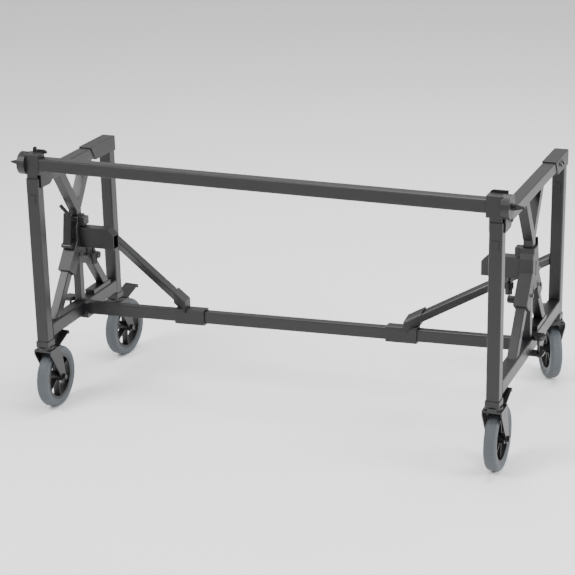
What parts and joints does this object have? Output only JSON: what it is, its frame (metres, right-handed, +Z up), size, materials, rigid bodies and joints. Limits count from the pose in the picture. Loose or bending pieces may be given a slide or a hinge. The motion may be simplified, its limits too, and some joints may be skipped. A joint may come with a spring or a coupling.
{
  "type": "vibraphone field frame",
  "caption": "Height-adjustable trapezoid field frame for a vibraphone: square tube legs, A-shaped end struts, fork posts and braked swivel casters.",
  "frame": {"origin": "centre of the object's bounding box at floor level, where the wheels rest", "axes": "+X along the length towards the deep end, +Y from the front rail to the rear legs, +Z up"},
  "size_m": [1.6436, 0.9636, 0.879],
  "materials": {
    "powder_coated_steel": "satin black powder coat",
    "painted_casting": "black painted casting",
    "black_nylon": "moulded black nylon",
    "grey_rubber": "grey rubber",
    "blackened_steel": "blackened pressed steel"
  },
  "bodies": {
    "base_frame": {"lower_beam": "powder_coated_steel", "left_front_leg": "powder_coated_steel", "left_rear_leg": "powder_coated_steel", "right_front_leg": "powder_coated_steel", "right_rear_leg": "powder_coated_steel", "left_crossbar": "powder_coated_steel", "left_front_strut": "powder_coated_steel", "left_rear_strut": "powder_coated_steel", "left_housing": "painted_casting", "left_brace_collar": "painted_casting", "left_brace": "powder_coated_steel", "left_resonator_bracket": "powder_coated_steel", "right_crossbar": "powder_coated_steel", "right_front_strut": "powder_coated_steel", "right_rear_strut": "powder_coated_steel", "right_housing": "painted_casting", "right_brace_collar": "painted_casting", "right_brace": "powder_coated_steel", "right_resonator_bracket": "powder_coated_steel"},
    "upper_frame": {"front_rail": "powder_coated_steel", "left_front_knuckle": "painted_casting", "left_side_rail": "powder_coated_steel", "left_rear_elbow": "painted_casting", "left_fork": "powder_coated_steel", "right_front_knuckle": "painted_casting", "right_side_rail": "powder_coated_steel", "right_rear_elbow": "painted_casting", "right_fork": "powder_coated_steel"},
    "left_clamp_lever": {"left_clamp_lever": "black_nylon"},
    "left_strut_knob": {"left_strut_knob": "black_nylon"},
    "left_foot_knob": {"left_foot_knob": "black_nylon"},
    "left_beam_knob": {"left_beam_knob": "black_nylon"},
    "left_wing_screw": {"left_wing_screw": "black_nylon"},
    "right_clamp_lever": {"right_clamp_lever": "black_nylon"},
    "right_strut_knob": {"right_strut_knob": "black_nylon"},
    "right_foot_knob": {"right_foot_knob": "black_nylon"},
    "right_beam_knob": {"right_beam_knob": "black_nylon"},
    "right_wing_screw": {"right_wing_screw": "black_nylon"},
    "left_front_spring_button": {"left_front_spring_button": "black_nylon"},
    "left_front_caster": {"left_front_caster_fork": "blackened_steel"},
    "left_front_wheel": {"left_front_hub": "black_nylon", "left_front_tyre": "grey_rubber"},
    "left_front_brake_pedal": {"left_front_brake_pedal": "blackened_steel"},
    "left_rear_spring_button": {"left_rear_spring_button": "black_nylon"},
    "left_rear_caster": {"left_rear_caster_fork": "blackened_steel"},
    "left_rear_wheel": {"left_rear_hub": "black_nylon", "left_rear_tyre": "grey_rubber"},
    "left_rear_brake_pedal": {"left_rear_brake_pedal": "blackened_steel"},
    "right_front_spring_button": {"right_front_spring_button": "black_nylon"},
    "right_front_caster": {"right_front_caster_fork": "blackened_steel"},
    "right_front_wheel": {"right_front_hub": "black_nylon", "right_front_tyre": "grey_rubber"},
    "right_front_brake_pedal": {"right_front_brake_pedal": "blackened_steel"},
    "right_rear_spring_button": {"right_rear_spring_button": "black_nylon"},
    "right_rear_caster": {"right_rear_caster_fork": "blackened_steel"},
    "right_rear_wheel": {"right_rear_hub": "black_nylon", "right_rear_tyre": "grey_rubber"},
    "right_rear_brake_pedal": {"right_rear_brake_pedal": "blackened_steel"}
  },
  "joints": [
    {"name": "height", "type": "slide", "parent": "base_frame", "child": "upper_frame", "axis": [0, 0, 1], "range_m": [0, 0.1]},
    {"name": "left_clamp_lever_swing", "type": "hinge", "parent": "base_frame", "child": "left_clamp_lever", "pos_m": [-0.7455, -0.23034, 0.503], "axis": [1, 0, 0], "range_deg": [0, 70]},
    {"name": "left_strut_knob_turn", "type": "hinge", "parent": "base_frame", "child": "left_strut_knob", "pos_m": [-0.7207, -0.10222, 0.43883], "axis": [-1, 0, 0], "continuous": true},
    {"name": "left_foot_knob_turn", "type": "hinge", "parent": "base_frame", "child": "left_foot_knob", "pos_m": [-0.683, -0.16734, 0.47], "axis": [0, 0, 1], "continuous": true},
    {"name": "left_beam_knob_turn", "type": "hinge", "parent": "base_frame", "child": "left_beam_knob", "pos_m": [-0.7805, -0.16734, 0.3022], "axis": [0, 0, 1], "continuous": true},
    {"name": "left_wing_screw_turn", "type": "hinge", "parent": "upper_frame", "child": "left_wing_screw", "pos_m": [-0.7838, -0.41384, 0.829], "axis": [1, 0, 0], "continuous": true},
    {"name": "right_clamp_lever_swing", "type": "hinge", "parent": "base_frame", "child": "right_clamp_lever", "pos_m": [0.7455, 0.01716, 0.503], "axis": [-1, 0, 0], "range_deg": [0, 70]},
    {"name": "right_strut_knob_turn", "type": "hinge", "parent": "base_frame", "child": "right_strut_knob", "pos_m": [0.7207, -0.11095, 0.43883], "axis": [1, 0, 0], "continuous": true},
    {"name": "right_foot_knob_turn", "type": "hinge", "parent": "base_frame", "child": "right_foot_knob", "pos_m": [0.683, -0.04584, 0.47], "axis": [0, 0, 1], "continuous": true},
    {"name": "right_beam_knob_turn", "type": "hinge", "parent": "base_frame", "child": "right_beam_knob", "pos_m": [0.7805, -0.04584, 0.3022], "axis": [0, 0, 1], "continuous": true},
    {"name": "right_wing_screw_turn", "type": "hinge", "parent": "upper_frame", "child": "right_wing_screw", "pos_m": [0.7838, -0.43384, 0.829], "axis": [1, 0, 0], "continuous": true},
    {"name": "left_front_spring_button_press", "type": "slide", "parent": "base_frame", "child": "left_front_spring_button", "axis": [0, 1, 0], "range_m": [0, 0.003], "stiffness_N_per_m": 900},
    {"name": "left_front_swivel", "type": "hinge", "parent": "base_frame", "child": "left_front_caster", "pos_m": [-0.7435, -0.41384, 0], "axis": [0, 0, 1], "continuous": true},
    {"name": "left_front_roll", "type": "hinge", "parent": "left_front_caster", "child": "left_front_wheel", "pos_m": [-0.7435, -0.36184, 0.1], "axis": [1, 0, 0], "continuous": true},
    {"name": "left_front_brake_pedal_press", "type": "hinge", "parent": "left_front_caster", "child": "left_front_brake_pedal", "pos_m": [-0.7435, -0.37284, 0.21125], "axis": [-1, 0, 0], "range_deg": [0, 12]},
    {"name": "left_rear_spring_button_press", "type": "slide", "parent": "base_frame", "child": "left_rear_spring_button", "axis": [0, 1, 0], "range_m": [0, 0.003], "stiffness_N_per_m": 900},
    {"name": "left_rear_swivel", "type": "hinge", "parent": "base_frame", "child": "left_rear_caster", "pos_m": [-0.7435, 0.07916, 0], "axis": [0, 0, 1], "continuous": true},
    {"name": "left_rear_roll", "type": "hinge", "parent": "left_rear_caster", "child": "left_rear_wheel", "pos_m": [-0.73806, 0.13088, 0.1], "axis": [0.9945, -0.1045, 0], "continuous": true},
    {"name": "left_rear_brake_pedal_press", "type": "hinge", "parent": "left_rear_caster", "child": "left_rear_brake_pedal", "pos_m": [-0.73921, 0.11994, 0.21125], "axis": [-0.9945, 0.1045, 0], "range_deg": [0, 12]},
    {"name": "right_front_spring_button_press", "type": "slide", "parent": "base_frame", "child": "right_front_spring_button", "axis": [0, 1, 0], "range_m": [0, 0.003], "stiffness_N_per_m": 900},
    {"name": "right_front_swivel", "type": "hinge", "parent": "base_frame", "child": "right_front_caster", "pos_m": [0.7435, -0.43384, 0], "axis": [0, 0, 1], "continuous": true},
    {"name": "right_front_roll", "type": "hinge", "parent": "right_front_caster", "child": "right_front_wheel", "pos_m": [0.7435, -0.38183, 0.1], "axis": [1, 0, 0], "continuous": true},
    {"name": "right_front_brake_pedal_press", "type": "hinge", "parent": "right_front_caster", "child": "right_front_brake_pedal", "pos_m": [0.7435, -0.39283, 0.21125], "axis": [-1, 0, 0], "range_deg": [0, 12]},
    {"name": "right_rear_spring_button_press", "type": "slide", "parent": "base_frame", "child": "right_rear_spring_button", "axis": [0, 1, 0], "range_m": [0, 0.003], "stiffness_N_per_m": 900},
    {"name": "right_rear_swivel", "type": "hinge", "parent": "base_frame", "child": "right_rear_caster", "pos_m": [0.7435, 0.34216, 0], "axis": [0, 0, 1], "continuous": true},
    {"name": "right_rear_roll", "type": "hinge", "parent": "right_rear_caster", "child": "right_rear_wheel", "pos_m": [0.71909, 0.38808, 0.1], "axis": [0.8829, 0.4695, 0], "continuous": true},
    {"name": "right_rear_brake_pedal_press", "type": "hinge", "parent": "right_rear_caster", "child": "right_rear_brake_pedal", "pos_m": [0.72425, 0.37837, 0.21125], "axis": [-0.8829, -0.4695, 0], "range_deg": [0, 12]}
  ]
}
